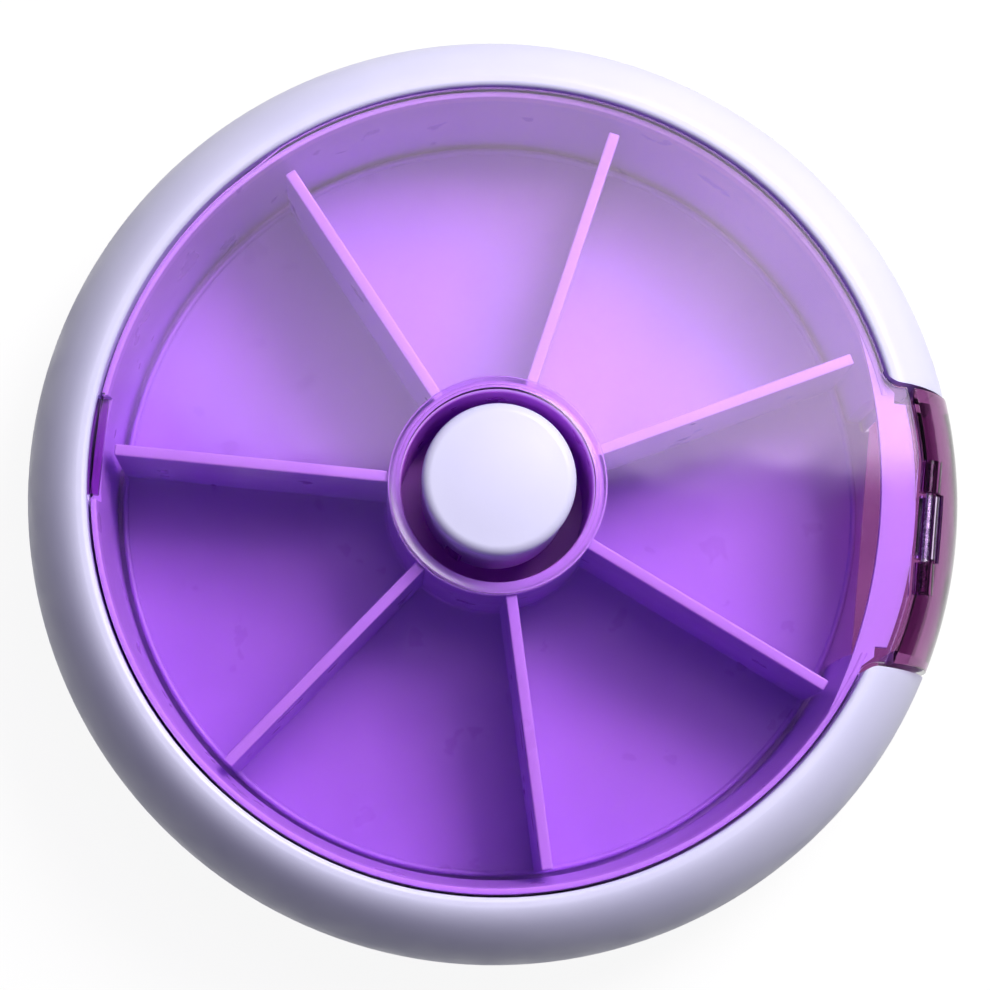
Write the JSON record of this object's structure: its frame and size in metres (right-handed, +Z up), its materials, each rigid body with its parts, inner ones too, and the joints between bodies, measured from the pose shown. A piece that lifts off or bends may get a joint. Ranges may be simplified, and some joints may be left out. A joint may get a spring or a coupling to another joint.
{
  "type": "rotating pill organizer",
  "caption": "Round pill box: a purple carousel of compartments turns in a white housing under a tinted lifting cover, with a press-and-turn centre button and a flap at the side outlet.",
  "frame": {"origin": "on the carousel's turning axis, at the level of the foot ring", "axes": "+Z up along the turning axis; +X towards the middle of the outlet in the side; the cover's hook hinge is at -X"},
  "size_m": [0.09, 0.09, 0.0252],
  "materials": {
    "base_shell": "semi-gloss white moulded plastic",
    "rim_ring": "semi-gloss white moulded plastic",
    "tray_bowl": "semi-gloss purple moulded plastic",
    "slip_washer": "natural plastic",
    "index_leaf": "bright steel",
    "housing_screw_1": "bright steel",
    "housing_screw_2": "bright steel",
    "housing_screw_3": "bright steel",
    "housing_screw_4": "bright steel",
    "carousel": "semi-gloss purple moulded plastic",
    "button_spring": "bright steel",
    "centre_button": "semi-gloss white moulded plastic",
    "stem_circlip": "bright steel",
    "clear_cover": "clear plastic with a purple tint, polished",
    "door_hinge_pin": "bright steel",
    "outlet_door": "clear plastic with a purple tint, polished"
  },
  "bodies": {
    "base": {"base_shell": "base_shell", "rim_ring": "rim_ring", "tray_bowl": "tray_bowl", "slip_washer": "slip_washer", "index_leaf": "index_leaf", "housing_screw_1": "housing_screw_1", "housing_screw_2": "housing_screw_2", "housing_screw_3": "housing_screw_3", "housing_screw_4": "housing_screw_4"},
    "carousel": {"carousel": "carousel", "button_spring": "button_spring"},
    "button": {"centre_button": "centre_button", "stem_circlip": "stem_circlip"},
    "cover": {"clear_cover": "clear_cover", "door_hinge_pin": "door_hinge_pin"},
    "door": {"outlet_door": "outlet_door"}
  },
  "joints": [
    {"name": "carousel_spin", "type": "hinge", "parent": "base", "child": "carousel", "pos_m": [0, 0, 0], "axis": [0, 0, 1], "continuous": true},
    {"name": "button_press", "type": "slide", "parent": "carousel", "child": "button", "axis": [0, 0, -1], "range_m": [0, 0.0022], "stiffness_N_per_m": 400, "springref_m": -0.001, "deforming": ["button_spring"]},
    {"name": "cover_lift", "type": "hinge", "parent": "base", "child": "cover", "pos_m": [-0.0378, 0, 0.02035], "axis": [0, -1, 0], "range_deg": [0, 38]},
    {"name": "door_open", "type": "hinge", "parent": "cover", "child": "door", "pos_m": [0.04105, 0, 0.0198], "axis": [0, -1, 0], "range_deg": [0, 100]}
  ]
}
